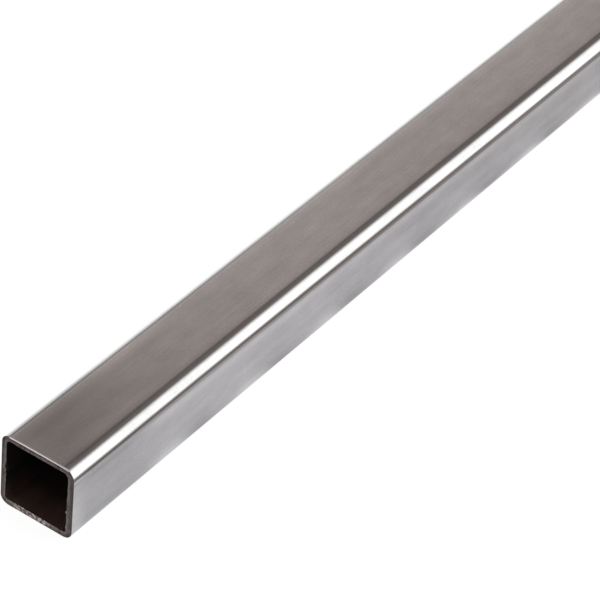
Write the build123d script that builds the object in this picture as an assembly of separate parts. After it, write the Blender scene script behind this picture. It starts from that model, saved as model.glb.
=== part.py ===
from build123d import *
import os

# A length of square steel tube: one cold-formed, welded strip with rounded
# corners, sawn square at both ends. It lies on its bottom face along X, with
# the origin under its middle, so Z = 0 is the surface that it lies on.

# Driving dimensions, in millimetres
LENGTH = 1000.0  # stock length, end to end
SIDE = 20.0  # outside, across the flats, the same both ways
WALL = 1.5  # thickness of the strip
BEND_RADIUS = 1.0  # inside radius of each folded corner
END_BREAK = 0.1  # bevel that deburring leaves round the outside of each end
SEAM_WIDTH = 1.6  # weld bead left inside the tube, along the back wall
SEAM_HEIGHT = 0.25  # how far that bead stands in from the wall

# Sizes that follow from them
CORNER_RADIUS = BEND_RADIUS + WALL  # outside, concentric with the bend
BORE = SIDE - 2 * WALL  # clear width inside, across the flats


def square_section(side, radius):
    """A rounded square in the plane across the tube, centred on its axis."""
    across = Plane.YZ.offset(-LENGTH / 2)
    section = across * Pos(0, SIDE / 2) * RectangleRounded(side, side, radius)
    return section


def tube_wall():
    """The plain tube: the outer square drawn along its length, with the bore taken out."""
    outer = extrude(square_section(SIDE, CORNER_RADIUS), amount=LENGTH)
    outer = chamfer(outer.faces().filter_by(Axis.X).edges(), END_BREAK)
    bore = extrude(square_section(BORE, BEND_RADIUS), amount=LENGTH)
    return outer - bore


def seam_bead():
    """The low rounded weld bead on the inside of the back wall, end to end."""
    face_of_wall = BORE / 2
    middle = SIDE / 2
    foot = (face_of_wall, middle - SEAM_WIDTH / 2)
    crest = (face_of_wall - SEAM_HEIGHT, middle)
    head = (face_of_wall, middle + SEAM_WIDTH / 2)
    root = WALL / 2
    outline = [
        ThreePointArc(foot, crest, head),
        Polyline(head, (face_of_wall + root, head[1]), (face_of_wall + root, foot[1]), foot),
    ]
    across = Plane.YZ.offset(-LENGTH / 2)
    return extrude(across * make_face(outline), amount=LENGTH)


def square_tube():
    """The whole tube as one solid."""
    return tube_wall() + seam_bead()


os.makedirs("parts", exist_ok=True)
export_step(square_tube(), "parts/square_tube.step")
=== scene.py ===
import math

import bpy
import numpy as np
from mathutils import Matrix, Vector, noise


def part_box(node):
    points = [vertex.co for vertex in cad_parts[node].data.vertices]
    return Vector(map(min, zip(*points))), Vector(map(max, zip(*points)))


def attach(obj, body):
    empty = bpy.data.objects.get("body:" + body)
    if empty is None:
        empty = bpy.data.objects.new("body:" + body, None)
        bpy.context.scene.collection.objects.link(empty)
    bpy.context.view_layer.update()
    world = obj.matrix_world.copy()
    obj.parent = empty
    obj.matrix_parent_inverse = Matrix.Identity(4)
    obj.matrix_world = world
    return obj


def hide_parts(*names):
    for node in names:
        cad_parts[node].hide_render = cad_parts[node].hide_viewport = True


# A length of square steel tube lies on a pale floor under soft light. The looks
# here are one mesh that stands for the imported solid: the rolled skin with its
# soft corners, the sawn ends with their burrs, and the bore with its weld bead.

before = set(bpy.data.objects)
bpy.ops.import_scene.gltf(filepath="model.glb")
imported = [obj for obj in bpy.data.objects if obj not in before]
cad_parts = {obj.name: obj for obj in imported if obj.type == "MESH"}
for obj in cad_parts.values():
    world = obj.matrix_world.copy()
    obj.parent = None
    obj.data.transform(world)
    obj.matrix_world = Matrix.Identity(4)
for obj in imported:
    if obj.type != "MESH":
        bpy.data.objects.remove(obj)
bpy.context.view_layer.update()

# Sizes of the tube, in metres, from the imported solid
MM = 0.001
NODE = "square_tube"
node_low, node_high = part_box(NODE)
LENGTH = node_high.x - node_low.x
SIDE = node_high.z - node_low.z
MIDDLE = (node_low + node_high) / 2
WALL = 1.5 * MM
BORE = SIDE - 2 * WALL

# The section, from the back wall over the top and down the front: for each bend
# the radius at its heart and the lengths over which it fades into the flat before
# and after it; for the top face, how strongly it is crowned
BACK_BEND = (2.1 * MM, 0.8 * MM, 2.5 * MM)
FRONT_BEND = (2.5 * MM, 2.5 * MM, 2.5 * MM)
LOWER_BEND = (2.3 * MM, 1.2 * MM, 1.2 * MM)
TOP_CROWN = 1.8
# The bore: the radii of its corners in the same order and how they fade, how far
# it sits towards the back wall, and the weld bead inside that wall. A point nearer
# than ON_WALL to that wall lies on it
INNER_RADII = (1.15 * MM, 1.3 * MM, 0.6 * MM, 0.9 * MM)
INNER_FADE = 0.3 * MM
BORE_SHIFT = 0.15 * MM
SEAM_WIDTH = 1.6 * MM
SEAM_HEIGHT = 0.25 * MM
ON_WALL = 0.01 * MM

# How finely the mesh is divided round the section, how strongly the points of the
# back wall crowd towards the weld bead, and how often a corner's fit is refined
BEND_STEPS = 960
CORNER_STEPS = 32
FLAT_STEPS = 60
SEAM_CROWDING = 0.65
FIT_ROUNDS = 12
# How finely it is divided along the tube and over the sawn ends, where the rings
# of the skin begin, and the least length that the map gives to the next ring
FIRST_STEP = 0.25 * MM
STEP_GROWTH = 1.4
LONGEST_STEP = 18.0 * MM
ROUNDING_STEPS = 6
FACE_STEPS = 8
SKIN_START = 0.6 * MM
MAP_STEP = 0.1 * MM

# The sawn faces: how far in they lie, and how deep and how large their relief is
FACE_DEPTH = 0.03 * MM
FACE_RELIEF, RELIEF_SIZE = 0.012 * MM, 0.7 * MM
# Their outer edge: filed round along the top between two places, more so towards
# the back, and almost sharp elsewhere. EDGE_FROM is the angle at which its rounding
# begins, and its polish fades over the last POLISH_TURN of it
EDGE_ROUND = 0.52 * MM
EDGE_GROWTH, GROWTH_OVER = 0.15, 7 * MM
EDGE_FROM = math.radians(30)
EDGE_SHARP = 0.02 * MM
EDGE_SPREAD, SPREAD_SIZE = 0.02 * MM, 3 * MM
FILED_FROM, FILED_TO, FILED_FADE = -9.2 * MM, 8.9 * MM, 1.3 * MM
FILED_ABOVE, FILED_RISE = 0.90, 0.06
POLISH_TURN, POLISH_LEAST = 0.3, 0.3
# Chips in that edge at its foot
CHIP_DEPTH, CHIP_SIZE = 0.04 * MM, 0.55 * MM
CHIPS_BELOW, CHIPS_FADE = 0.12, 0.1
# Their inner edge: a burr that leans into the bore, strongest at the foot
BURR_HEIGHT = 0.03 * MM
BURR_LEAN = 0.10 * MM
BURR_LEAST = 0.15
BURR_MEAN, BURR_SWING, BURR_SIZE = 0.35, 1.2, 0.9 * MM
LIP_FLAT, LIP_START = 0.15 * MM, 0.06 * MM
LIP_BEND, LIP_END = 0.1 * MM, 0.25 * MM
# Ragged metal along that edge, most of it at the foot and at the back, where the
# edge is worn away too, and how far the metal stands in before its lip gets the
# full painted glint in the filed edge's pale colour
RAGGED, RAGGED_SIZE, RAGGED_LEAST = 0.10 * MM, 0.8 * MM, 0.25
RAGGED_FOOT = 0.2
RAGGED_BACK, BACK_FADE = 0.8, 0.15
MOUTH_WEAR = 0.08 * MM
LIP_GLINT_REACH = 0.12 * MM
# Seeds of the noise on the ends, to which each kind adds a number of its own
RAGGED_SEED = 31.7
END_SEED, END_SEED_STEP = 11.3, 7.7

# Nicks and torn burrs along the bore's edge at each end, in millimetres: place
# (Y, Z) on the bore's wall, how wide, and how far the metal stands in from the wall
TORN = {
    -1: [
        (8.5, 10.4, 0.90, -0.38),
        (8.5, 8.4, 0.45, 0.12),
        (8.5, 12.1, 0.60, 0.07),
        (8.5, 5.0, 0.70, 0.05),
        (-8.5, 7.6, 0.22, 0.26),
        (-8.5, 12.6, 0.90, -0.06),
        (-8.5, 15.6, 1.70, -0.10),
        (-8.5, 3.2, 0.80, 0.08),
        (-4.0, 1.5, 4.50, -0.11),
    ],
    1: [(8.5, 10.0, 0.50, -0.25), (-8.5, 13.5, 0.30, 0.18), (2.0, 1.5, 0.30, 0.16)],
}

# The parts of the mesh, in the order of its materials
SKIN, CUT, INSIDE = 0, 1, 2

# The camera, from the middle of the near end's bottom edge
CAMERA_FROM_END = Vector((-381.25 * MM, -295.92 * MM, 457.87 * MM))
CAMERA_YAW = math.radians(58.398)
CAMERA_PITCH = math.radians(38.965)
CAMERA_ROLL = math.radians(6.281)
SENSOR = 36.0
LENS = 181.31
CLIP_START = 10 * MM


# The section


def eased(share):
    """A share from 0 to 1 that starts and ends gently."""
    share = np.clip(share, 0, 1)
    return share * share * (3 - 2 * share)


def bend(radius, fade_in, fade_out, lean_in, lean_out):
    """Steps along one corner, from flat to flat: how far along, how far across."""
    turn = math.pi / 2 - lean_in - lean_out
    core = turn * radius
    place = np.linspace(-fade_in / 2, core + fade_out / 2, BEND_STEPS + 1)
    tightness = eased(place / fade_in + 0.5) * eased((core - place) / fade_out + 0.5)
    turned = np.concatenate([[0], np.cumsum((tightness[1:] + tightness[:-1]) / 2)])
    turned = lean_in + turned * turn / turned[-1]
    middle = (turned[1:] + turned[:-1]) / 2
    step = place[1] - place[0]
    along = np.concatenate([[0], np.cumsum(np.cos(middle) * step)])
    across = np.concatenate([[0], np.cumsum(np.sin(middle) * step)])
    pick = np.arange(0, BEND_STEPS + 1, BEND_STEPS // CORNER_STEPS)
    return along[pick], across[pick]


def fit_corner(half, corner, crown_in, crown_out):
    """A corner, and how far from the middle of each face beside it the face meets it."""
    before = after = half - corner[0]
    for _ in range(FIT_ROUNDS):
        along, across = bend(*corner, crown_in * before, crown_out * after)
        sunk_in, sunk_out = crown_in * before**2 / 2, crown_out * after**2 / 2
        before, after = half - sunk_out - along[-1], half - sunk_in - across[-1]
    return before, after, along, across


def section(side, corners, crowns):
    """Points round a rounded square, (Y, Z) from its middle, from the back wall's foot upward."""
    half = side / 2
    fitted = []
    for face, corner in enumerate(corners):
        fitted.append(fit_corner(half, corner, crowns[face], crowns[(face + 1) % 4]))
    places = []
    for face in range(4):
        angle = face * math.pi / 2
        out = np.array([math.cos(angle), math.sin(angle)])
        ahead = np.array([-out[1], out[0]])
        first = -fitted[face - 1][1]
        last, _, along, across = fitted[face]
        shares = np.linspace(-1, 1, FLAT_STEPS, endpoint=False)
        if face == 0:
            shares = (1 - SEAM_CROWDING) * shares + SEAM_CROWDING * shares**3
        for share in shares:
            place = first + (last - first) * (share + 1) / 2
            places.append(out * (half - crowns[face] * place**2 / 2) + ahead * place)
        start = out * (half - crowns[face] * last**2 / 2) + ahead * last
        for a, c in list(zip(along, across))[:-1]:
            places.append(start + ahead * a - out * c)
    return np.array(places)


OUTER_BENDS = (BACK_BEND, FRONT_BEND, LOWER_BEND, LOWER_BEND)
INNER_BENDS = [(radius, INNER_FADE, INNER_FADE) for radius in INNER_RADII]
outer_ring = section(SIDE, OUTER_BENDS, (0.0, TOP_CROWN, 0.0, 0.0))
bore_ring = section(BORE, INNER_BENDS, (0.0,) * 4)
ROUND = len(outer_ring)


def with_seam(ring):
    """The inner section with the weld bead standing in from the back wall."""
    beaded = ring.copy()
    on_back_wall = ring[:, 0] > BORE / 2 - ON_WALL
    share = np.clip(np.abs(ring[:, 1]) / (SEAM_WIDTH / 2), 0, 1)
    height = SEAM_HEIGHT * 0.5 * (1 + np.cos(math.pi * share))
    beaded[:, 0] += BORE_SHIFT - np.where(on_back_wall, height, 0)
    return beaded


inner_ring = with_seam(bore_ring)


# The mesh


def stations():
    """Places along the tube from one end's skin to the other's, close together near both ends."""
    half, step, place = LENGTH / 2, FIRST_STEP, SKIN_START
    near = []
    while step < LONGEST_STEP:
        near.append(place)
        place += step
        step *= STEP_GROWTH
    count = int((half - place) / LONGEST_STEP) + 1
    middle = np.linspace(-half + place, half - place, 2 * count + 1)
    start = [-half + p for p in near]
    return np.array(start + list(middle) + [-x for x in reversed(start)])


def noise_at(places, seed, size):
    """Smooth noise from -1 to 1 at each of these places on the section."""
    return np.array([noise.noise(Vector((y, z, seed))) for y, z in places / size])


def torn_edge(end):
    """How far the bore's edge stands in from the wall at each point, where sawing tore it."""
    low = 1 - eased((bore_ring[:, 1] / BORE + 0.5) / RAGGED_FOOT)
    back = eased((bore_ring[:, 0] / BORE + 0.5 - RAGGED_BACK) / BACK_FADE)
    ragged = RAGGED_LEAST + (1 - RAGGED_LEAST) * np.maximum(low, back)
    waves = noise_at(outer_ring, RAGGED_SEED + end, RAGGED_SIZE)
    reach = RAGGED * waves * ragged - MOUTH_WEAR * back
    place = bore_ring + (0, SIDE / 2)
    for y, z, width, lift in TORN[end]:
        away = np.linalg.norm(place - (y * MM, z * MM), axis=1)
        reach += lift * MM * np.exp(-((away / (width * MM)) ** 2))
    return reach


def end_rings(end):
    """Rings over a sawn end from the skin to the bore; end is -1 for the near one, 1 for the far one."""
    seed = END_SEED + END_SEED_STEP * end
    through = inner_ring - outer_ring
    wall = np.linalg.norm(through, axis=1)
    through = through / wall[:, None]
    height = outer_ring[:, 1] / SIDE + 0.5
    aside = outer_ring[:, 0]
    filed = eased((height - FILED_ABOVE) / FILED_RISE)
    filed = filed * eased((FILED_TO - aside) / FILED_FADE) * eased((aside - FILED_FROM) / FILED_FADE)
    rounding = (EDGE_ROUND - EDGE_SHARP) * (1 + EDGE_GROWTH * eased(aside / GROWTH_OVER)) * filed
    rounding += EDGE_SHARP + EDGE_SPREAD * (filed * noise_at(outer_ring, seed, SPREAD_SIZE) + 0.5)
    chips = np.clip(noise_at(outer_ring, seed + 5, CHIP_SIZE), 0, 1)
    rounding += CHIP_DEPTH * chips * eased((CHIPS_BELOW - height) / CHIPS_FADE)
    burr = noise_at(outer_ring, seed + 3, BURR_SIZE)
    burr = np.clip(BURR_MEAN + BURR_SWING * burr, 0, 1) * (BURR_LEAST + (1 - BURR_LEAST) * (1 - height))
    torn = torn_edge(end)
    # Painted highlight: where the bore's edge stands in, its lip gets the filed edge's pale colour
    lip_glint = np.clip(torn / LIP_GLINT_REACH, 0, 1)
    none, lip = np.zeros(ROUND), wall + torn
    rings = []

    def add(depth, across, edge, share, kind=CUT):
        """A ring; its share across the wall is 0 at the skin, 1 at the lip and 2 in the bore."""
        places = outer_ring + through * across[:, None]
        x = end * (LENGTH / 2 - depth)
        rings.append((x, places, edge, share, kind))

    begin = FACE_DEPTH + rounding * (1 - math.sin(EDGE_FROM))
    add(begin + EDGE_SHARP, none, none, 0.0, SKIN)
    for angle in np.linspace(EDGE_FROM, math.pi / 2, ROUNDING_STEPS + 1):
        depth = FACE_DEPTH + rounding * (1 - math.sin(angle))
        across = rounding * (math.cos(EDGE_FROM) - math.cos(angle))
        polish = min(1.0, (math.pi / 2 - angle) / POLISH_TURN + POLISH_LEAST)
        add(depth, across, filed * polish, 0.0)
    filed_to = rounding * math.cos(EDGE_FROM)
    for share in np.linspace(0, 1, FACE_STEPS + 1)[1:]:
        across = filed_to + (lip - LIP_FLAT - filed_to) * share
        relief = noise_at(outer_ring + through * across[:, None], seed + 9, RELIEF_SIZE)
        add(FACE_DEPTH + FACE_RELIEF * relief, across, lip_glint * (share == 1), share)
    # The burr: its foot, its tip, its inner side and the way back to the wall
    tip = FACE_DEPTH - BURR_HEIGHT * burr
    add(FACE_DEPTH - 0.3 * BURR_HEIGHT * burr, lip - LIP_START, lip_glint, 1.0)
    add(tip, lip + 0.6 * BURR_LEAN * burr, lip_glint, 1.1)
    add(tip + LIP_BEND, lip + BURR_LEAN * burr, none, 1.5)
    add(tip + LIP_END, wall + 0.25 * BURR_LEAN * burr + 0.6 * torn, none, 2.0)
    return rings


def grid(rings):
    """For each face of the mesh, the number of its ring and its place in the ring."""
    return np.meshgrid(np.arange(len(rings)), np.arange(ROUND), indexing="ij")


def add_tube():
    """One closed mesh: out along the skin, over the far end, back inside and over the near end."""
    along = stations()
    rings = []
    none = np.zeros(ROUND)
    for x in along:
        rings.append((np.full(ROUND, x), outer_ring, none, 0.0, SKIN))
    rings += end_rings(1)
    for x in along[::-1]:
        rings.append((np.full(ROUND, x), inner_ring, none, 2.0, INSIDE))
    rings += reversed(end_rings(-1))

    points = np.zeros((len(rings), ROUND, 3))
    for row, (x, places, _, _, _) in zip(points, rings):
        row[:, 0] = MIDDLE.x + x
        row[:, 1:] = places + (MIDDLE.y, MIDDLE.z)

    count = len(rings)
    ring_at, at = grid(rings)
    next_ring, next_at = (ring_at + 1) % count, (at + 1) % ROUND
    faces = np.stack(
        [
            ring_at * ROUND + at,
            ring_at * ROUND + next_at,
            next_ring * ROUND + next_at,
            next_ring * ROUND + at,
        ],
        axis=2,
    ).reshape(-1, 4)

    mesh = bpy.data.meshes.new("tube")
    mesh.from_pydata(points.reshape(-1, 3).tolist(), [], faces.tolist())
    mesh.polygons.foreach_set("use_smooth", [True] * len(faces))
    kinds = [ring[4] for ring in rings]
    slots = []
    for i in range(count):
        pair = kinds[i], kinds[(i + 1) % count]
        slots += [min(pair) if SKIN in pair else max(pair)] * ROUND
    mesh.polygons.foreach_set("material_index", slots)

    for name, column in (("end_edge", 2), ("across_wall", 3)):
        values = mesh.attributes.new(name, "FLOAT", "POINT")
        rows = [np.broadcast_to(ring[column], ROUND) for ring in rings]
        values.data.foreach_set("value", np.concatenate(rows))
    add_map(mesh, rings)
    mesh.update()
    tube = bpy.data.objects.new("steel_tube", mesh)
    bpy.context.scene.collection.objects.link(tube)
    return tube


def add_map(mesh, rings):
    """A flat map: U goes round the section and V along the tube, both in metres."""
    step = np.linalg.norm(np.roll(outer_ring, -1, axis=0) - outer_ring, axis=1)
    girth = np.concatenate([[0], np.cumsum(step)])
    v = [0.0]
    for a, b in zip(rings, rings[1:] + rings[:1]):
        v.append(v[-1] + float(np.abs(np.mean(a[0]) - np.mean(b[0]))) + MAP_STEP)
    v = np.array(v)
    ring_at, at = grid(rings)
    corners = np.stack(
        [
            np.stack([girth[at], v[ring_at]], axis=2),
            np.stack([girth[at + 1], v[ring_at]], axis=2),
            np.stack([girth[at + 1], v[ring_at + 1]], axis=2),
            np.stack([girth[at], v[ring_at + 1]], axis=2),
        ],
        axis=2,
    ).reshape(-1, 4, 2)
    layer = mesh.uv_layers.new(name="grain")
    layer.data.foreach_set("uv", corners.reshape(-1))


# Materials


class Nodes:
    """A short way to build a node tree."""

    def __init__(self, tree):
        self.tree = tree
        tree.nodes.clear()

    def add(self, kind, **settings):
        node = self.tree.nodes.new(kind)
        for name, value in settings.items():
            setattr(node, name, value)
        return node

    def join(self, source, target):
        self.tree.links.new(source, target)

    def put(self, socket, value):
        if isinstance(value, bpy.types.NodeSocket):
            self.join(value, socket)
        else:
            socket.default_value = value

    def math(self, operation, a, b=0.0, clamp=False):
        node = self.add("ShaderNodeMath", operation=operation, use_clamp=clamp)
        self.put(node.inputs[0], a)
        self.put(node.inputs[1], b)
        return node.outputs[0]

    def times(self, a, b):
        return self.math("MULTIPLY", a, b)

    def plus(self, a, b, clamp=False):
        return self.math("ADD", a, b, clamp)

    def minus(self, a, b):
        return self.math("SUBTRACT", a, b)

    def spread(self, value, low, high, to_low, to_high, smooth=False):
        """A value that runs from to_low to to_high while the given one runs from low to high."""
        node = self.add("ShaderNodeMapRange")
        if smooth:
            node.interpolation_type = "SMOOTHSTEP"
        for socket, given in zip(node.inputs, (value, low, high, to_low, to_high)):
            self.put(socket, given)
        return node.outputs[0]

    def mix(self, factor, a, b):
        node = self.add("ShaderNodeMix", data_type="RGBA")
        self.put(node.inputs["Factor"], factor)
        self.put(node.inputs[6], a)
        self.put(node.inputs[7], b)
        return node.outputs[2]

    def mix_value(self, factor, a, b):
        node = self.add("ShaderNodeMix", data_type="FLOAT")
        for socket, given in zip(node.inputs[:1] + node.inputs[2:4], (factor, a, b)):
            self.put(socket, given)
        return node.outputs[0]

    def texture(self, stretch, shift, scale, detail, roughness):
        """Noise in the object's own space, stretched and shifted."""
        place = self.add("ShaderNodeMapping")
        self.join(self.add("ShaderNodeTexCoord").outputs["Object"], place.inputs["Vector"])
        place.inputs["Location"].default_value = shift
        place.inputs["Scale"].default_value = stretch
        node = self.add("ShaderNodeTexNoise")
        self.join(place.outputs["Vector"], node.inputs["Vector"])
        node.inputs["Scale"].default_value = scale
        node.inputs["Detail"].default_value = detail
        node.inputs["Roughness"].default_value = roughness
        return node.outputs["Fac"]

    def axes(self):
        node = self.add("ShaderNodeSeparateXYZ")
        self.join(self.add("ShaderNodeTexCoord").outputs["Object"], node.inputs[0])
        return node.outputs

    def stripe(self, along, centre, width, strength):
        """A soft stripe: strength at its centre, fading to nothing at width to either side."""
        away = self.math("ABSOLUTE", self.minus(along, centre))
        return self.spread(away, 0, width, strength, 0, smooth=True)

    def stripes(self, along, rows):
        """Stripes from rows of centre, half-width and strength, the lengths in millimetres."""
        return self.total([self.stripe(along, c * MM, w * MM, s) for c, w, s in rows])

    def oval(self, a, b, mark, reach):
        """A soft oval: where on both axes and its half-sizes there, in millimetres, and its strength."""
        squares = []
        for along, centre, half in ((a, mark[0], mark[2]), (b, mark[1], mark[3])):
            away = self.times(self.minus(along, centre * MM), 1 / (half * MM))
            squares.append(self.times(away, away))
        return self.spread(self.math("SQRT", self.total(squares)), 0, reach, mark[4], 0, smooth=True)

    def total(self, values):
        so_far = values[0]
        for value in values[1:]:
            so_far = self.plus(so_far, value)
        return so_far

    def shaded(self, colour, shade):
        node = self.add("ShaderNodeVectorMath", operation="SCALE")
        self.join(colour, node.inputs[0])
        self.put(node.inputs["Scale"], shade)
        return node.outputs[0]

    def value(self, name):
        return self.add("ShaderNodeAttribute", attribute_name=name).outputs["Fac"]

    def bump(self, height, distance, strength):
        node = self.add("ShaderNodeBump")
        node.inputs["Strength"].default_value = strength
        node.inputs["Distance"].default_value = distance
        self.join(height, node.inputs["Height"])
        return node.outputs["Normal"]


def new_material(name):
    material = bpy.data.materials.new(name)
    material.use_nodes = True
    n = Nodes(material.node_tree)
    shader = n.add("ShaderNodeBsdfPrincipled")
    output = n.add("ShaderNodeOutputMaterial")
    n.join(shader.outputs[0], output.inputs["Surface"])
    return material, n, shader


# Stripes along the skin, in millimetres: place across the face, half-width, and
# then the strength. These two sets are painted reflection: lighter and darker
# bands in the light that the steel reflects
TOP_STRIPES = [(6.9, 1.6, 0.05), (4.2, 1.5, -0.04), (-2.8, 2.2, 0.05), (-5.2, 2.0, 0.09)]
FRONT_STRIPES = [(17.2, 0.7, -0.20), (8.6, 1.8, 0.05), (2.9, 1.0, 0.05)]
# The same, but only in the painted shade beside the near cut, or only beyond it,
# with the lengths from the cut over which each part begins
FRONT_BEFORE = [(15.2, 1.5, -0.12), (3.2, 1.6, -0.07)]
FRONT_LATER = [(17.2, 0.7, 0.07), (15.2, 1.6, 0.13), (14.2, 2.2, 0.09)]
BEFORE_BEGINS, LATER_BEGINS = (2 * MM, 7 * MM), (18 * MM, 30 * MM)
# The same, fading away from a cut
FRONT_NEAREST = [(17.1, 0.7, 0.38), (16.0, 0.8, -0.15)]
NEAREST_FADES = (1.5 * MM, 6 * MM)
# A slow brightening of the whole front along the tube: painted reflection
FRONT_GAIN, GAIN_OVER = 0.05, (130 * MM, 200 * MM)

# A painted reflection below the front's upper bend: a thin dark brown line that
# deepens the dark line reflected there. Its height and half-width, how it deepens
# along the tube in two stages, and how it sinks
LINE_HEIGHT, LINE_WIDTH = 16.65 * MM, 0.75 * MM
LINE_STAGES = [(18 * MM, 30 * MM, 0.50), (58 * MM, 115 * MM, 0.38)]
LINE_SINK, SINK_OVER = 0.25 * MM, (58 * MM, 180 * MM)
LINE_COLOUR = (0.235, 0.198, 0.178, 1)

# Lighter and darker patches on top, in millimetres: from the near end, across,
# half-length, half-width, and then the strength. They fade out at PATCH_REACH
# half-sizes
TOP_PATCHES = [
    (18, -5.0, 16, 2.4, 0.17),
    (11, 3.8, 12, 2.4, -0.10),
    (0, 7.0, 6, 2.0, -0.04),
    (36, 6.9, 20, 1.5, 0.16),
    (58, -6.0, 16, 1.6, -0.07),
    (69, -1.5, 6, 3.0, -0.05),
    (120, 7.2, 34, 1.5, 0.05),
    (160, 3.5, 9, 2.5, -0.03),
]
PATCH_REACH = 1.4

# Chatter marks along the front, strongest at its foot, painted into the colour as
# bright glints with a dark mark behind each: painted reflection off their waviness.
# Their pitch and the first one, how they lean, how the dark mark follows, and their
# strength by height
CHATTER_PITCH = 30.5 * MM
CHATTER_FIRST = 33.6 * MM
CHATTER_SLANT, CHATTER_LOW = 0.58, 2 * MM
CHATTER_SKEW, CHATTER_LAG = 0.24, 1.44
CHATTER_FOOT = (2.2 * MM, 5 * MM, 0.24, 0)
CHATTER_FACE = (4 * MM, 14 * MM, 0.07, 0.01)

# The skin beside each cut: a little brighter right beside it, then darker with
# painted shade
BRIGHT_STRIP_LENGTH, BRIGHT_STRIP_BY_HEIGHT = 6 * MM, (4 * MM, 19 * MM, 0.36, 0.07)
PAINTED_SHADE_BY_LENGTH = (18 * MM, 36 * MM, -0.12, 0)

# Where the top, the front and the bend between them begin, by height or across
TOP_BEGINS = (18.8 * MM, 19.6 * MM, 0, 1)
FRONT_BEGINS = (-9.6 * MM, -8.8 * MM, 1, 0)
BEND_BY_HEIGHT, BEND_ACROSS = (17.4 * MM, 17.9 * MM, 0, 1), (-7.9 * MM, -7.4 * MM, 1, 0)

# The skin's textures: the stretch, shift, scale, detail and roughness of each, and
# then its share of the tone. The first one also makes the bump
SKIN_LAYERS = [
    ((0.02, 1, 1), (0, 0, 0), 2600, 3, 0.6, 0.25),
    ((0.6, 1, 1), (3, 1, 2), 2200, 2, 0.6, 0.27),
    ((0.5, 1, 1), (0, 0, 0), 260, 3, 0.6, 0.30),
    ((0.3, 1, 1), (5, 2, 1), 40, 2, 0.5, 0.18),
]
SKIN_TONE = (0.36, 0.64, 0, 1)
SKIN_DARK, SKIN_PALE = (0.440, 0.440, 0.440, 1), (0.565, 0.565, 0.565, 1)
SKIN_ROUGHNESS = (0, 1, 0.165, 0.135)
SKIN_BUMP = 0.002 * MM, 0.3


def from_near_end(n, x):
    """How far a place lies from the near end."""
    return n.minus(x, node_low.x)


def from_cut(n, x):
    """How far a place lies from the nearer of both cuts."""
    return n.minus(LENGTH / 2, n.math("ABSOLUTE", x))


def chatter_marks(n, along, z):
    """Chatter marks as painted glints at an even pitch, each with a dark one close behind it, leaning
    over as they rise.
    """
    slant = n.times(n.minus(z, CHATTER_LOW), CHATTER_SLANT)
    phase = n.plus(n.minus(along, CHATTER_FIRST), slant)
    phase = n.times(phase, 2 * math.pi / CHATTER_PITCH)
    twice = n.minus(n.times(phase, 2.0), CHATTER_LAG)
    wave = n.plus(n.math("COSINE", phase), n.times(n.math("COSINE", twice), CHATTER_SKEW))
    return n.times(wave, n.plus(n.spread(z, *CHATTER_FOOT), n.spread(z, *CHATTER_FACE)))


def skin_shade(n):
    """How bright the skin is, as a factor: painted reflection and glints, patches on top, and painted
    shade beside the cuts.
    """
    x, y, z = n.axes()
    along, to_cut = from_near_end(n, x), from_cut(n, x)
    patches_on_top = [n.oval(along, y, mark, PATCH_REACH) for mark in TOP_PATCHES]
    top = n.total([n.stripes(y, TOP_STRIPES)] + patches_on_top)

    # Painted reflection on the front: stripes and chatter glints, some only near or beyond the near cut
    begun = n.spread(along, *LATER_BEGINS, 0, 1)
    later = n.times(n.plus(n.stripes(z, FRONT_LATER), chatter_marks(n, along, z)), begun)
    beside = n.minus(n.spread(to_cut, *BEFORE_BEGINS, 0, 1), begun)
    before = n.times(n.stripes(z, FRONT_BEFORE), n.math("MAXIMUM", beside, 0.0))
    nearest = n.times(n.stripes(z, FRONT_NEAREST), n.spread(to_cut, *NEAREST_FADES, 1, 0))
    gain = n.spread(along, *GAIN_OVER, 0, FRONT_GAIN)
    front = n.total([n.stripes(z, FRONT_STRIPES), later, before, nearest, gain])

    # A little brighter right beside each cut
    bright_strip = n.spread(to_cut, 0, BRIGHT_STRIP_LENGTH, 1, 0, smooth=True)
    bright_strip = n.times(bright_strip, n.spread(z, *BRIGHT_STRIP_BY_HEIGHT))
    bend = n.times(n.spread(z, *BEND_BY_HEIGHT), n.spread(y, *BEND_ACROSS))
    # Painted shade beside each cut, kept off the bend that carries the highlight
    dull = n.times(n.spread(to_cut, *PAINTED_SHADE_BY_LENGTH, smooth=True), n.minus(1.0, bend))
    top = n.times(n.spread(z, *TOP_BEGINS), top)
    front = n.times(n.spread(y, *FRONT_BEGINS), front)
    return n.total([top, front, bright_strip, n.plus(dull, 1.0)])


def painted_dark_line(n):
    """How strongly the painted dark line, a painted reflection, covers the skin, from 0 to 1."""
    x, y, z = n.axes()
    along = from_near_end(n, x)
    cover = n.total([n.spread(along, a, b, 0, share) for a, b, share in LINE_STAGES])
    cover = n.times(cover, n.spread(y, *FRONT_BEGINS))
    sunk = n.spread(along, *SINK_OVER, 0, LINE_SINK)
    return n.times(cover, n.stripe(n.plus(z, sunk), LINE_HEIGHT, LINE_WIDTH, 1.0))


def rolled_skin():
    """Cold-rolled steel: fine lines along the strip, faint mottling and chatter marks, with painted
    reflection, glints and shade in its colour.
    """
    material, n, shader = new_material("rolled_skin")
    layers = [n.texture(*row[:-1]) for row in SKIN_LAYERS]
    tone = n.total([n.times(layer, row[-1]) for layer, row in zip(layers, SKIN_LAYERS)])
    tone = n.spread(tone, *SKIN_TONE)
    colour = n.mix(tone, SKIN_DARK, SKIN_PALE)
    # The painted dark line over the skin's colour with its painted light and shade
    colour = n.mix(painted_dark_line(n), n.shaded(colour, skin_shade(n)), LINE_COLOUR)
    n.join(colour, shader.inputs["Base Color"])
    n.join(n.spread(tone, *SKIN_ROUGHNESS), shader.inputs["Roughness"])
    shader.inputs["Metallic"].default_value = 1.0
    n.join(n.bump(layers[0], *SKIN_BUMP), shader.inputs["Normal"])
    return material


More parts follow.
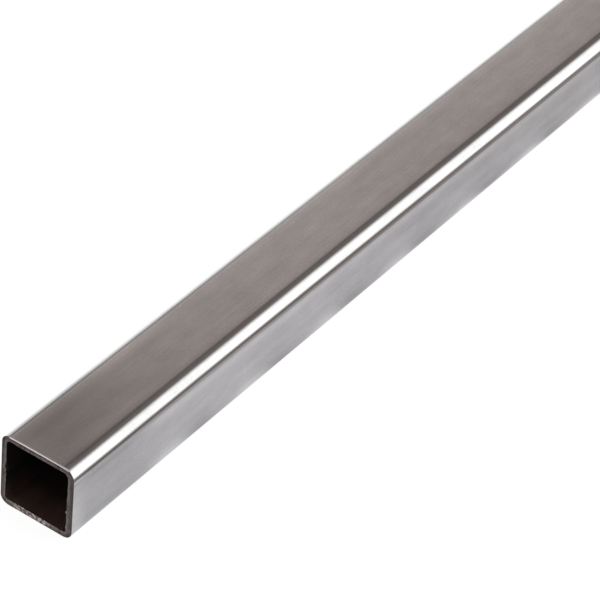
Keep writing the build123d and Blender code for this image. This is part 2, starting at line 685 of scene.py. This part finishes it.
# Light scrapes on the near end, bare metal painted pale with painted glints on it,
# in millimetres: place (Y, Z), half-width, half-height, and then the strength
SCRAPES_AND_GLINTS = [
    (-8.58, 3.30, 0.24, 1.00, 0.40),
    (-9.35, 2.50, 0.22, 0.55, 0.22),
    (-8.75, 7.50, 0.32, 0.55, 0.35),
    (-7.35, 1.10, 0.45, 0.32, 0.28),
    (-7.45, 0.35, 0.28, 0.25, 0.30),
    (-9.42, 7.30, 0.42, 0.50, 0.22),
    (3.00, 0.85, 1.00, 0.60, 0.30),
    (9.30, 5.10, 0.35, 0.50, 0.10),
]
SCRAPE_AND_GLINT_COLOUR = (0.50, 0.44, 0.43, 1)

# The textures of a cut, and what the first two give to its tone
CUT_MARKS = ((1, 1, 0.15), (0, 0, 0), 1700, 2, 0.6)
CUT_PATCHES = ((1, 1, 0.5), (2, 7, 4), 1000, 3, 0.6)
CUT_TORN = ((1, 1, 0.8), (9, 3, 8), 900, 3, 0.65)
MARKS_SHARE, PATCHES_SHARE = 0.55, 0.45
# Its colours: the saw marks, the greyer front, the pale border along the bore, the
# torn foot with its painted glints, the filed edge, whose colour also paints a
# glint along torn lips, and the bore's lip
CUT_DARK, CUT_PALE = (0.066, 0.056, 0.053, 1), (0.192, 0.163, 0.153, 1)
CUT_GREY = (0.120, 0.110, 0.109, 1)
BORDER_COLOUR = (0.29, 0.255, 0.245, 1)
FOOT_DARK, FOOT_GLINT = (0.11, 0.092, 0.087, 1), (0.74, 0.65, 0.62, 1)
FILED_AND_GLINT_COLOUR = (0.52, 0.472, 0.469, 1)
LIP_COLOUR = (0.020, 0.012, 0.010, 1)
# Where each of them lies: across the wall, by height, across the tube or by noise
CUT_TONE = (0.38, 0.62, 0, 1)
GREY_ACROSS = (-9 * MM, -7 * MM, 0.35, 0)
EDGE_SHADE = (0.2, 0.6, 0.82, 1)
BORDER_BY_WALL, BORDER_BY_NOISE = (0.45, 0.85, 0, 0.55), (0.35, 0.6, 0.3, 1)
FOOT_BY_HEIGHT, FOOT_BY_WALL = (1.5 * MM, 2.2 * MM, 1, 0), (0.05, 0.45, 0.4, 1)
FOOT_ACROSS, FOOT_TONE = (1.4 * MM, 6.8 * MM, 2.2), (0.45, 0.58, 0, 1)
FILED_BY_EDGE = (0.3, 0.8, 0, 1)
LIP_BY_WALL = (1.1, 1.5, 0, 1)
CUT_ROUGHNESS, FILED_ROUGHNESS = (0.3, 0.7, 0.34, 0.50), 0.22
CUT_BUMP, FOOT_BUMP = (0.03 * MM, 0.6), 2.0


def scraped(n, x, y, z):
    """How strongly the near end's face shows its scrapes and their painted glints, from 0 to 1."""
    marks = [n.oval(y, z, mark, 1) for mark in SCRAPES_AND_GLINTS]
    return n.times(n.total(marks), n.math("LESS_THAN", x, 0.0))


def torn_foot(n, y, z, across):
    """How far the cut is torn at its foot, from 0 to 1."""
    foot = n.times(n.spread(z, *FOOT_BY_HEIGHT), n.math("MINIMUM", n.stripe(y, *FOOT_ACROSS), 1.0))
    return n.times(foot, n.spread(across, *FOOT_BY_WALL))


def sawn_end():
    """The cut: dull saw-marked steel, lighter along the bore and at the filed edge, torn at its foot,
    with painted glints on the foot, on scrapes and along torn lips.
    """
    material, n, shader = new_material("sawn_end")
    marks, patches, torn = n.texture(*CUT_MARKS), n.texture(*CUT_PATCHES), n.texture(*CUT_TORN)
    edge, across = n.value("end_edge"), n.value("across_wall")
    x, y, z = n.axes()
    foot = torn_foot(n, y, z, across)

    tone = n.plus(n.times(marks, MARKS_SHARE), n.times(patches, PATCHES_SHARE))
    colour = n.mix(n.spread(tone, *CUT_TONE), CUT_DARK, CUT_PALE)
    colour = n.mix(n.spread(y, *GREY_ACROSS), colour, CUT_GREY)
    colour = n.shaded(colour, n.spread(across, *EDGE_SHADE))
    border = n.times(n.spread(across, *BORDER_BY_WALL), n.spread(patches, *BORDER_BY_NOISE))
    colour = n.mix(border, colour, BORDER_COLOUR)
    # The torn foot, flecked with painted glints
    colour = n.mix(foot, colour, n.mix(n.spread(torn, *FOOT_TONE), FOOT_DARK, FOOT_GLINT))
    # Scrapes on the near end, with painted glints
    colour = n.mix(scraped(n, x, y, z), colour, SCRAPE_AND_GLINT_COLOUR)
    # The filed edge's pale colour, which also paints the glint along torn lips
    filed = n.spread(edge, *FILED_BY_EDGE)
    colour = n.mix(filed, colour, FILED_AND_GLINT_COLOUR)
    colour = n.mix(n.spread(across, *LIP_BY_WALL), colour, LIP_COLOUR)
    n.join(colour, shader.inputs["Base Color"])
    rough = n.mix_value(filed, n.spread(patches, *CUT_ROUGHNESS), FILED_ROUGHNESS)
    n.join(rough, shader.inputs["Roughness"])
    shader.inputs["Metallic"].default_value = 1.0
    relief = n.plus(marks, n.times(n.times(torn, foot), FOOT_BUMP))
    n.join(n.bump(relief, *CUT_BUMP), shader.inputs["Normal"])
    return material


# The colours of the bore, and the painted shade that darkens it further in, towards
# the back wall (but not at the mouth's foot) and on the back wall above its foot
BORE_DARK, BORE_BROWN = (0.025, 0.0133, 0.0110, 1), (0.050, 0.0270, 0.0228, 1)
BORE_DEEP = (4 * MM, 10.5 * MM, 1.0, 0.40)
BORE_BACK = (2 * MM, 7 * MM, 0, 0.50)
BACK_INWARD, BACK_BY_HEIGHT = (0.6 * MM, 2.4 * MM, 0, 1), (4 * MM, 8 * MM, 0, 1)
BACK_WALL_SHADE_ACROSS, BACK_WALL_SHADE_BY_HEIGHT = (7.9 * MM, 8.4 * MM, 0, 0.8), (2.5 * MM, 7.0 * MM, 0, 1)
BORE_CLOUDS = ((0.3, 1, 1), (1, 5, 3), 220, 3, 0.6)
BORE_TONE = (0.3, 0.7, 0, 1)
BORE_ROUGHNESS = (0.3, 0.7, 0.60, 0.75)
BORE_METALLIC, BORE_SPECULAR = 0.2, 0.15
BORE_BUMP = 0.02 * MM, 0.5


def bore_skin():
    """The unpolished inside: reddish brown at the mouth, with painted shade further in and on the back
    wall.
    """
    material, n, shader = new_material("bore_skin")
    clouds = n.texture(*BORE_CLOUDS)
    x, y, z = n.axes()
    to_cut = from_cut(n, x)
    # Painted shade: darker further in and towards the back wall
    inward = n.math("MAXIMUM", n.spread(to_cut, *BACK_INWARD), n.spread(z, *BACK_BY_HEIGHT))
    to_back = n.times(n.spread(y, *BORE_BACK), inward)
    deep = n.times(n.spread(to_cut, *BORE_DEEP, smooth=True), n.minus(1.0, to_back))
    # Painted shade on the back wall, above its foot
    weld = n.times(n.spread(y, *BACK_WALL_SHADE_ACROSS), n.spread(z, *BACK_WALL_SHADE_BY_HEIGHT))
    colour = n.mix(n.spread(clouds, *BORE_TONE), BORE_DARK, BORE_BROWN)
    colour = n.shaded(colour, n.times(deep, n.minus(1.0, weld)))
    n.join(colour, shader.inputs["Base Color"])
    n.join(n.spread(clouds, *BORE_ROUGHNESS), shader.inputs["Roughness"])
    shader.inputs["Metallic"].default_value = BORE_METALLIC
    shader.inputs["Specular IOR Level"].default_value = BORE_SPECULAR
    n.join(n.bump(clouds, *BORE_BUMP), shader.inputs["Normal"])
    return material


# The studio


# Light round the tube, as the camera sees it in the steel: degrees from straight
# up, positive to the back, and the colour there. The two tables after it are alike
LIGHT_ROUND_TUBE = [
    (-180, (0.80, 0.79, 0.81)),
    (-156, (0.77, 0.75, 0.775)),
    (-151.5, (0.785, 0.770, 0.798)),
    (-149, (0.80, 0.783, 0.817)),
    (-146.5, (0.76, 0.735, 0.762)),
    (-144.8, (0.50, 0.46, 0.46)),
    (-143.5, (0.19, 0.160, 0.150)),
    (-137, (0.23, 0.195, 0.182)),
    (-129, (0.30, 0.265, 0.248)),
    (-119, (0.55, 0.51, 0.49)),
    (-110, (1.75, 1.68, 1.63)),
    (-102, (2.00, 2.00, 2.00)),
    (-35, (2.00, 2.00, 2.00)),
    (-24, (1.65, 1.64, 1.62)),
    (-14, (1.10, 1.09, 1.07)),
    (-5, (0.43, 0.400, 0.385)),
    (2, (0.245, 0.216, 0.204)),
    (20, (0.225, 0.195, 0.184)),
    (28, (0.148, 0.124, 0.116)),
    (30.8, (0.22, 0.19, 0.18)),
    (32.2, (0.66, 0.58, 0.56)),
    (36, (0.60, 0.525, 0.505)),
    (40.5, (0.73, 0.66, 0.63)),
    (45, (0.70, 0.65, 0.63)),
    (50.5, (0.48, 0.46, 0.45)),
    (57, (0.66, 0.63, 0.62)),
    (64, (0.86, 0.84, 0.83)),
    (81, (1.36, 1.34, 1.34)),
    (105, (1.46, 1.45, 1.45)),
    (130, (1.20, 1.20, 1.20)),
    (180, (0.80, 0.79, 0.81)),
]
# Light from beyond the near end
LIGHT_FROM_NEAR_END = [
    (-180, (0.36, 0.35, 0.35)),
    (-140, (0.40, 0.39, 0.39)),
    (-110, (1.10, 1.08, 1.08)),
    (-80, (1.50, 1.48, 1.48)),
    (5, (1.20, 1.18, 1.18)),
    (34, (0.40, 0.38, 0.38)),
    (53, (0.44, 0.43, 0.43)),
    (64, (1.70, 1.67, 1.67)),
    (112, (1.70, 1.67, 1.67)),
    (126, (0.50, 0.48, 0.48)),
    (180, (0.36, 0.35, 0.35)),
]
# Plainer light on a tube seen from straight across it or from along it
LIGHT_ACROSS_TUBE = [
    (-180, (0.80, 0.79, 0.79)),
    (-150, (0.82, 0.81, 0.81)),
    (-120, (0.90, 0.89, 0.89)),
    (-90, (0.98, 0.97, 0.97)),
    (-60, (1.20, 1.19, 1.19)),
    (-40, (1.35, 1.34, 1.33)),
    (-20, (1.25, 1.24, 1.23)),
    (-5, (0.88, 0.86, 0.85)),
    (10, (0.64, 0.61, 0.60)),
    (22, (0.40, 0.37, 0.36)),
    (34, (0.44, 0.41, 0.40)),
    (50, (0.80, 0.78, 0.77)),
    (70, (1.00, 0.99, 0.98)),
    (90, (1.05, 1.04, 1.04)),
    (130, (0.95, 0.94, 0.94)),
    (180, (0.80, 0.79, 0.79)),
]
BRIGHTEST = 2.2
# The slants over which those three lights give way to each other. A slant is how
# far a ray leans along the tube, from -1 to 1, positive towards the far end
NEAR_END_LIGHT = (-0.50, -0.25)
ACROSS_LIGHT = (0.36, 0.50)
ALONG_LIGHT = (0.80, 0.92)

# One degree, as a share of the way round the tube
DEGREE = 1 / 360
# The edges of the light shift round the tube with the slant. A window holds the
# angles between which a shift holds, with a fade at either end. The lines after it
# give a range of slants and the shift at both of its ends, or else the middle and
# half-width of a range and the shift at its middle
PANEL_WINDOW = (-144.5, -136, -100, -60)
PANEL_SKEW = (0.658, 0.742, -3.6 * DEGREE, 14.7 * DEGREE)
PANEL_DROP = (0.637, 0.03, -3 * DEGREE)
CEILING_WINDOW = (-60, -40, 5, 24)
CEILING_NEAR = (0.59, 0.615, 6 * DEGREE, 0)
CEILING_DROP = (0.642, 0.02, -4 * DEGREE)
CEILING_FAR = (0.69, 0.735, 0, 4 * DEGREE)
FOOT_WINDOW = (-151, -147, -139, -133)
FOOT_NEAR = (0.60, 0.665, -3.4 * DEGREE, -1.2 * DEGREE)
FOOT_FAR = (0.675, 0.73, 0, 1.6 * DEGREE)

# The light behind the top is dimmer at low slants, apart from a paler gap, and has
# a dark line beside it
DIM_COLOUR = (0.52, 0.498, 0.492, 1)
DIM_WINDOW = (27, 31, 51, 58)
DIM_SLANTS = (0.585, 0.645, 1, 0)
GAP_ANGLE, GAP_WIDTH, GAP_STRENGTH = 41, 5 * DEGREE, 0.6
DARK_ANGLE, DARK_WIDTH = 50, 7 * DEGREE
DARK_SLANTS = (0.642, 0.666, 0.9, 0)


def place_of(degrees):
    """An angle round the tube, from -180 to 180, as a place from 0 to 1."""
    return (degrees + 180) * DEGREE


def light_ramp(n, place, table):
    """A colour ramp round the tube's axis, from a table of angles and colours."""
    ramp = n.add("ShaderNodeValToRGB")
    n.join(place, ramp.inputs[0])
    stops = ramp.color_ramp.elements
    while len(stops) > 1:
        stops.remove(stops[-1])
    for index, (degrees, colour) in enumerate(table):
        where = place_of(degrees)
        stop = stops[0] if index == 0 else stops.new(where)
        stop.position = where
        stop.color = [c / BRIGHTEST for c in colour] + [1]
    return ramp.outputs["Color"]


def window(n, place, angles):
    """1 between the middle two of these angles round the tube, and 0 outside the outer two."""
    rise_from, rise_to, fall_from, fall_to = [place_of(angle) for angle in angles]
    rise = n.spread(place, rise_from, rise_to, 0, 1)
    return n.times(rise, n.spread(place, fall_from, fall_to, 1, 0))


def shifted(n, place, slant):
    """The place round the tube at which the light is looked up."""
    panel = [n.spread(slant, *PANEL_SKEW), n.stripe(slant, *PANEL_DROP)]
    ceiling = [n.spread(slant, *CEILING_NEAR), n.stripe(slant, *CEILING_DROP)]
    ceiling.append(n.spread(slant, *CEILING_FAR))
    foot = [n.spread(slant, *FOOT_NEAR), n.spread(slant, *FOOT_FAR)]
    places = [place]
    for angles, shifts in ((PANEL_WINDOW, panel), (CEILING_WINDOW, ceiling), (FOOT_WINDOW, foot)):
        places.append(n.times(window(n, place, angles), n.total(shifts)))
    return n.total(places)


def dimming(n, place, slant):
    """How far the light is dimmed, from 0 to 1."""
    gap = n.stripe(place, place_of(GAP_ANGLE), GAP_WIDTH, GAP_STRENGTH)
    dimmed = n.times(window(n, place, DIM_WINDOW), n.minus(1.0, gap))
    dimmed = n.times(dimmed, n.spread(slant, *DIM_SLANTS))
    dark = n.stripe(place, place_of(DARK_ANGLE), DARK_WIDTH, 1.0)
    dark = n.times(dark, n.spread(slant, *DARK_SLANTS))
    dimmed = n.plus(dimmed, dark, clamp=True)
    return n.times(dimmed, n.spread(slant, *ACROSS_LIGHT, 0, 1))


def studio_light():
    """Soft light from the world: a broad bright panel in front, a dim ceiling and a pale back."""
    world = bpy.data.worlds.new("studio")
    bpy.context.scene.world = world
    world.use_nodes = True
    n = Nodes(world.node_tree)
    direction = n.add("ShaderNodeTexCoord").outputs["Generated"]
    axes = n.add("ShaderNodeSeparateXYZ")
    n.join(direction, axes.inputs[0])
    slant, y, z = axes.outputs
    place = n.spread(n.math("ARCTAN2", y, z), -math.pi, math.pi, 0, 1)
    place = shifted(n, place, slant)
    plainer = n.plus(n.spread(slant, *ACROSS_LIGHT, 1, 0), n.spread(slant, *ALONG_LIGHT, 0, 1))
    round_tube = light_ramp(n, place, LIGHT_ROUND_TUBE)
    round_tube = n.mix(plainer, round_tube, light_ramp(n, place, LIGHT_ACROSS_TUBE))
    near_end = light_ramp(n, place, LIGHT_FROM_NEAR_END)
    colour = n.mix(n.spread(slant, *NEAR_END_LIGHT, 1, 0), round_tube, near_end)
    tint = n.add("ShaderNodeVectorMath", operation="MULTIPLY")
    n.join(colour, tint.inputs[0])
    n.join(n.mix(dimming(n, place, slant), (1, 1, 1, 1), DIM_COLOUR), tint.inputs[1])
    background = n.add("ShaderNodeBackground")
    n.join(tint.outputs[0], background.inputs["Color"])
    background.inputs["Strength"].default_value = BRIGHTEST
    output = n.add("ShaderNodeOutputWorld")
    n.join(background.outputs[0], output.inputs["Surface"])


# The floor: its size, how far it lies under the tube, its colour, how much of what
# the camera sees of it is its own glow, and how strong that glow is
FLOOR_SIZE = 12.0
FLOOR_DROP = 0.02 * MM
FLOOR_COLOUR = (0.95, 0.95, 0.95, 1)
FLOOR_GLOW = 0.78
GLOW_STRENGTH = 1.10


def floor_material():
    """White to the camera, and pale with the object's shadow on it."""
    material = bpy.data.materials.new("floor")
    material.use_nodes = True
    n = Nodes(material.node_tree)
    diffuse = n.add("ShaderNodeBsdfDiffuse")
    diffuse.inputs["Color"].default_value = FLOOR_COLOUR
    glow = n.add("ShaderNodeEmission")
    glow.inputs["Strength"].default_value = GLOW_STRENGTH
    path = n.add("ShaderNodeLightPath").outputs
    seen = n.plus(path["Is Camera Ray"], path["Is Glossy Ray"])
    seen = n.plus(seen, path["Is Transmission Ray"], clamp=True)
    mix = n.add("ShaderNodeMixShader")
    n.join(n.times(seen, FLOOR_GLOW), mix.inputs[0])
    n.join(diffuse.outputs[0], mix.inputs[1])
    n.join(glow.outputs[0], mix.inputs[2])
    output = n.add("ShaderNodeOutputMaterial")
    n.join(mix.outputs[0], output.inputs["Surface"])
    return material


def add_floor():
    half = FLOOR_SIZE / 2
    sides = ((-half, -half), (half, -half), (half, half), (-half, half))
    corners = [(x, y, -FLOOR_DROP) for x, y in sides]
    mesh = bpy.data.meshes.new("floor")
    mesh.from_pydata(corners, [], [(0, 1, 2, 3)])
    mesh.materials.append(floor_material())
    sheet = bpy.data.objects.new("floor", mesh)
    bpy.context.scene.collection.objects.link(sheet)
    sheet.visible_glossy = False


def add_camera():
    yaw, pitch, roll = CAMERA_YAW, CAMERA_PITCH, CAMERA_ROLL
    ahead = Vector(
        (math.cos(pitch) * math.sin(yaw), math.cos(pitch) * math.cos(yaw), -math.sin(pitch))
    )
    level = Vector((math.cos(yaw), -math.sin(yaw), 0))
    up = level.cross(ahead)
    right = math.cos(roll) * level + math.sin(roll) * up
    above = -math.sin(roll) * level + math.cos(roll) * up
    data = bpy.data.cameras.new("camera")
    data.lens = LENS
    data.sensor_width = SENSOR
    data.clip_start = CLIP_START
    camera = bpy.data.objects.new("camera", data)
    facing = Matrix((right, above, -ahead)).transposed().to_4x4()
    near_end = Vector((node_low.x, MIDDLE.y, node_low.z))
    camera.matrix_world = Matrix.Translation(near_end + CAMERA_FROM_END) @ facing
    bpy.context.scene.collection.objects.link(camera)
    bpy.context.scene.camera = camera


tube = add_tube()
for made in (rolled_skin(), sawn_end(), bore_skin()):
    tube.data.materials.append(made)
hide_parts(NODE)
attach(tube, "root")

add_floor()
studio_light()
add_camera()
bpy.context.scene.view_settings.view_transform = "Standard"
